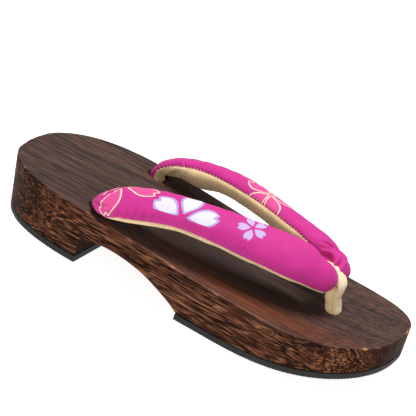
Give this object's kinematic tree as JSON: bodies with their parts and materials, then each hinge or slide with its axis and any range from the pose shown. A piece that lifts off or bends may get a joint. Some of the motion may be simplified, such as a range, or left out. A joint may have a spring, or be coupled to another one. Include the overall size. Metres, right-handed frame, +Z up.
{
  "type": "sandal",
  "caption": "Boat-shaped wooden thong sandal with an arched waist, rubber pads underneath and a padded cloth strap held by a toe thong.",
  "frame": {"origin": "on the floor, under the middle of the board's outline", "axes": "+X towards the toe, +Y to the wearer's left, +Z up"},
  "size_m": [0.24, 0.09, 0.061],
  "materials": {
    "wood": "charred and brushed, with a thin satin finish",
    "rubber": "matt black foam rubber",
    "cotton": "plain-woven magenta cotton with printed blossoms",
    "velveteen": "finely ribbed beige pile",
    "felt": "cream brushed cloth with a short nap"
  },
  "bodies": {
    "root": {"board": "wood", "heel_pad": "rubber", "forefoot_pad": "rubber", "strap_cover": "cotton", "strap_lining": "velveteen", "toe_thong": "felt", "tail_knot_left": "felt", "tail_knot_right": "felt"}
  },
  "joints": []
}
